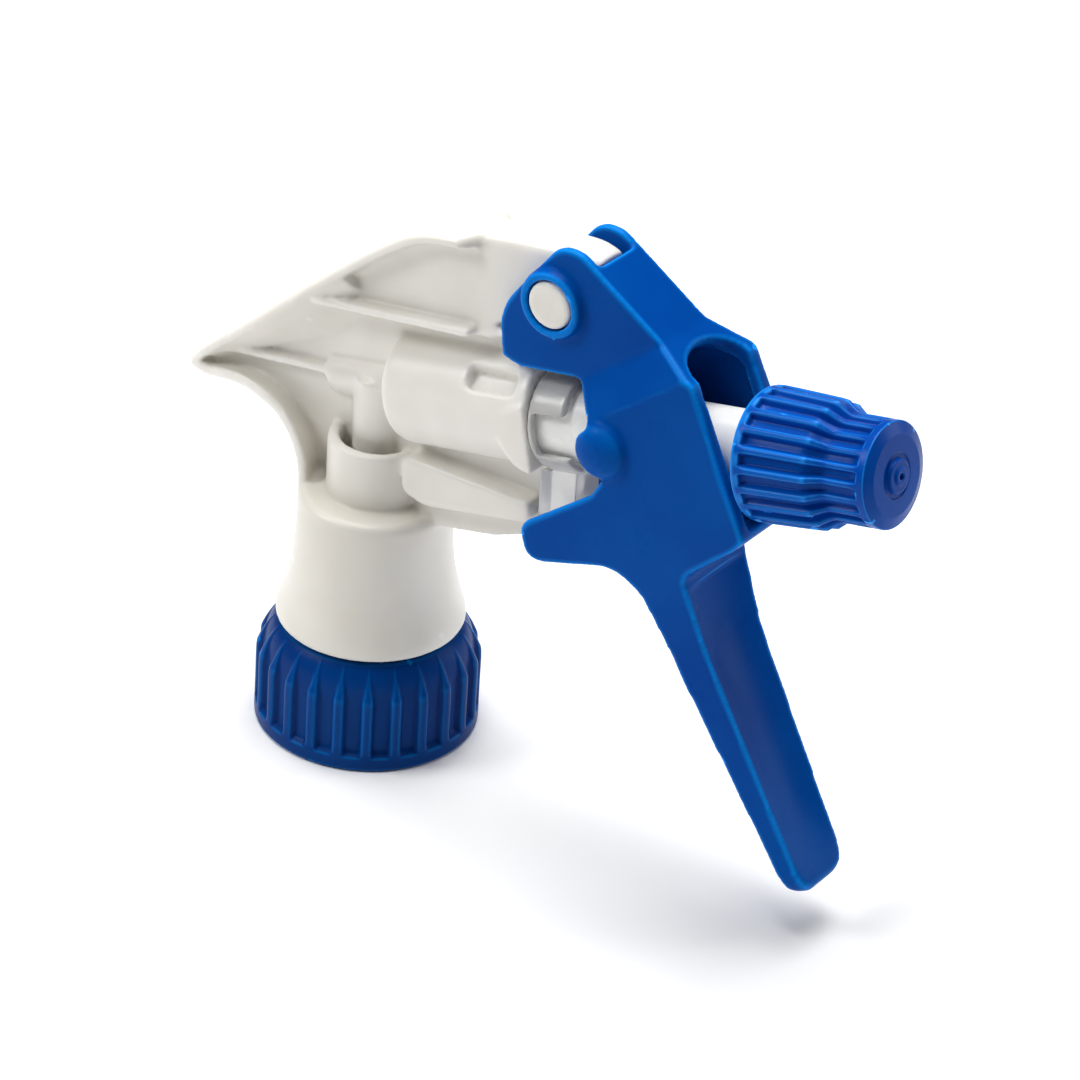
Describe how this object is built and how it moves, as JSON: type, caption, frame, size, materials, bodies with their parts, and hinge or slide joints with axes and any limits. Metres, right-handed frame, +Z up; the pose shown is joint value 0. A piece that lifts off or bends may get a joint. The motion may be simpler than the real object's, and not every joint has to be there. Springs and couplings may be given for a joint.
{
  "type": "trigger sprayer head",
  "caption": "Hand trigger sprayer head that screws onto a bottle neck: pump body, pull trigger, piston pump, turning nozzle cap and threaded closure collar.",
  "frame": {"origin": "on the neck axis, in the bottom plane of the closure collar", "axes": "+Z up along the neck, +X forwards in the spray direction, +Y to the left"},
  "size_m": [0.123, 0.034, 0.0937],
  "materials": {
    "white_pp": "semi-gloss moulded",
    "blue_pp": "semi-gloss moulded",
    "collar_blue": "semi-gloss moulded",
    "cap_blue": "semi-gloss moulded",
    "natural_pp": "semi-gloss moulded",
    "natural_clear": "translucent moulded",
    "natural_ldpe": "satin",
    "seal_rubber": "matte",
    "gasket_foam": "matte",
    "glass_ball": "polished",
    "spring_steel": "drawn wire",
    "valve_pp": "satin"
  },
  "bodies": {
    "housing": {"body_housing": "white_pp", "guide_collar": "natural_clear", "intake_shank": "natural_pp", "neck_gasket": "gasket_foam", "pump_spring": "spring_steel"},
    "trigger": {"trigger_lever": "blue_pp"},
    "plunger_unit": {"plunger": "natural_pp", "piston_cup": "natural_ldpe", "wiper_seal": "natural_ldpe", "spinner": "natural_pp", "nozzle_o_ring": "seal_rubber", "outlet_spring": "spring_steel"},
    "nozzle": {"nozzle_cap": "cap_blue"},
    "discharge_valve": {"outlet_valve": "valve_pp"},
    "check_ball": {"inlet_ball": "glass_ball"},
    "collar": {"closure_collar": "collar_blue"}
  },
  "joints": [
    {"name": "trigger_hinge", "type": "hinge", "parent": "housing", "child": "trigger", "pos_m": [0.033, 0, 0.0848], "axis": [0, 1, 0], "range_deg": [0, 27], "stiffness_Nm_per_rad": 0.12, "springref_deg": -20.05},
    {"name": "plunger_slide", "type": "slide", "parent": "housing", "child": "plunger_unit", "axis": [-0.9755, 0, -0.2198], "range_m": [0, 0.0095], "deforming": ["pump_spring"]},
    {"name": "nozzle_turn", "type": "hinge", "parent": "plunger_unit", "child": "nozzle", "pos_m": [0.06634, 0, 0.07174], "axis": [0.9755, 0, 0.2198], "range_deg": [0, 540]},
    {"name": "outlet_valve_lift", "type": "slide", "parent": "plunger_unit", "child": "discharge_valve", "axis": [0.9755, 0, 0.2198], "range_m": [0, 0.001], "stiffness_N_per_m": 40, "springref_m": -0.002, "deforming": ["outlet_spring"]},
    {"name": "inlet_ball_lift", "type": "slide", "parent": "housing", "child": "check_ball", "axis": [0, 0, 1], "range_m": [0, 0.0012]},
    {"name": "collar_turn", "type": "hinge", "parent": "housing", "child": "collar", "pos_m": [0, 0, 0], "axis": [0, 0, 1], "continuous": true}
  ],
  "couplings": [
    {"joint": "trigger_hinge", "follows": "plunger_slide", "rad_per_m": 49.505}
  ]
}
